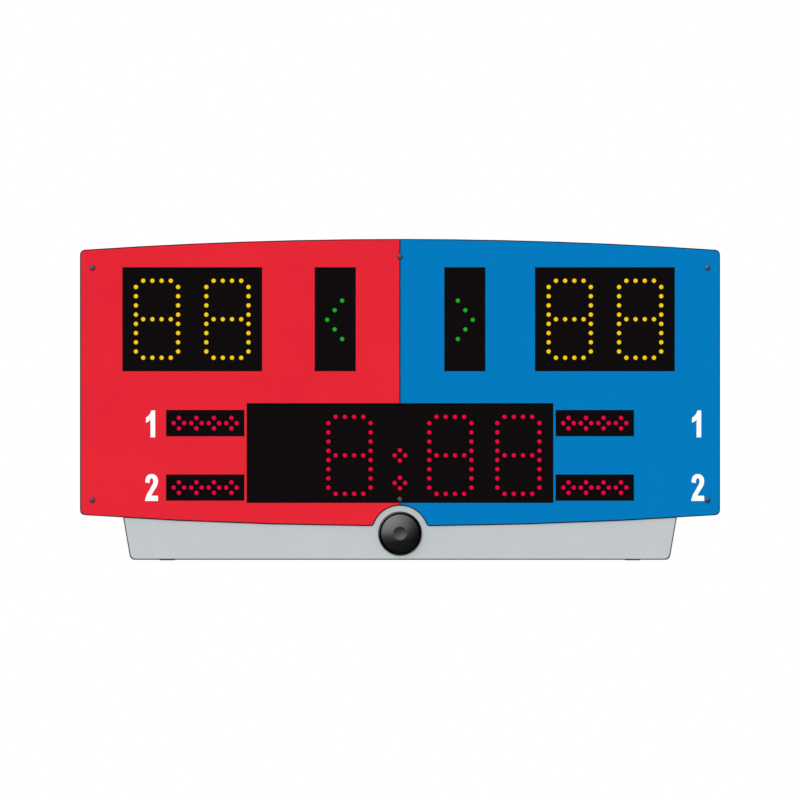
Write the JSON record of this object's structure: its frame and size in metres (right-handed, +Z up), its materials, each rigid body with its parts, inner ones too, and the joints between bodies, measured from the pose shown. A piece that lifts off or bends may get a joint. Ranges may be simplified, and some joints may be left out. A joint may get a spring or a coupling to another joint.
{
  "type": "electronic scoreboard",
  "caption": "Table-top electronic scoreboard with a red half and a blue half, score, arrow, clock and penalty windows, on a grey housing with a siren.",
  "frame": {"origin": "on the table, under the middle of the whole body", "axes": "+X to the right as the public sees the front, +Y from the front to the back, +Z up"},
  "size_m": [0.66, 0.09, 0.3314],
  "materials": {
    "red_sheet": "satin, back-printed polycarbonate sheet",
    "blue_sheet": "satin, back-printed polycarbonate sheet",
    "housing_grey": "fine-textured moulded plastic",
    "display_black": "matt black face",
    "led_yellow": "lit yellow lens",
    "led_green": "lit green lens",
    "led_red": "lit red lens",
    "numeral_white": "printed white numeral",
    "siren_black": "satin black moulding",
    "socket_black": "satin black moulding",
    "circuit_board": "solder-masked board",
    "battery_case": "moulded battery case",
    "plate_steel": "zinc-plated sheet steel",
    "screw_steel": "blackened steel",
    "foot_rubber": "matt rubber"
  },
  "bodies": {
    "scoreboard": {"red_panel": "red_sheet", "blue_panel": "blue_sheet", "score_display_red": "display_black", "score_display_blue": "display_black", "arrow_display_red": "display_black", "arrow_display_blue": "display_black", "clock_display": "display_black", "penalty_display_red_1": "display_black", "penalty_display_red_2": "display_black", "penalty_display_blue_1": "display_black", "penalty_display_blue_2": "display_black", "score_board_red": "circuit_board", "score_board_blue": "circuit_board", "clock_board": "circuit_board", "controller_board": "circuit_board", "siren_bezel": "siren_black", "siren_face": "siren_black", "siren_driver": "socket_black", "siren_nut": "socket_black", "front_shell": "housing_grey", "rear_cover": "housing_grey", "battery_pack": "battery_case", "battery_cover": "housing_grey", "connector_plate": "plate_steel", "power_switch_housing": "socket_black", "charge_inlet": "socket_black", "charge_inlet_nut": "plate_steel", "console_socket": "socket_black", "extension_socket": "socket_black", "hanger_plate_left": "plate_steel", "hanger_plate_right": "plate_steel", "foot_front_left": "foot_rubber", "foot_front_right": "foot_rubber", "foot_back_left": "foot_rubber", "foot_back_right": "foot_rubber", "panel_screw_top_left": "screw_steel", "panel_screw_top_right": "screw_steel", "panel_screw_bottom_left": "screw_steel", "panel_screw_bottom_right": "screw_steel", "panel_screw_top_centre": "screw_steel", "panel_screw_bottom_centre": "screw_steel", "cover_screw_1": "screw_steel", "cover_screw_2": "screw_steel", "cover_screw_3": "screw_steel", "cover_screw_4": "screw_steel", "cover_screw_5": "screw_steel", "cover_screw_6": "screw_steel", "battery_screw_1": "screw_steel", "battery_screw_2": "screw_steel", "plate_screw_1": "screw_steel", "plate_screw_2": "screw_steel", "plate_screw_3": "screw_steel", "plate_screw_4": "screw_steel"},
    "rocker": {"power_rocker": "socket_black"}
  },
  "joints": [
    {"name": "power_rocker_tilt", "type": "hinge", "parent": "scoreboard", "child": "rocker", "pos_m": [0.123, 0.0303, 0.098], "axis": [-1, 0, 0], "range_deg": [0, 20]}
  ]
}
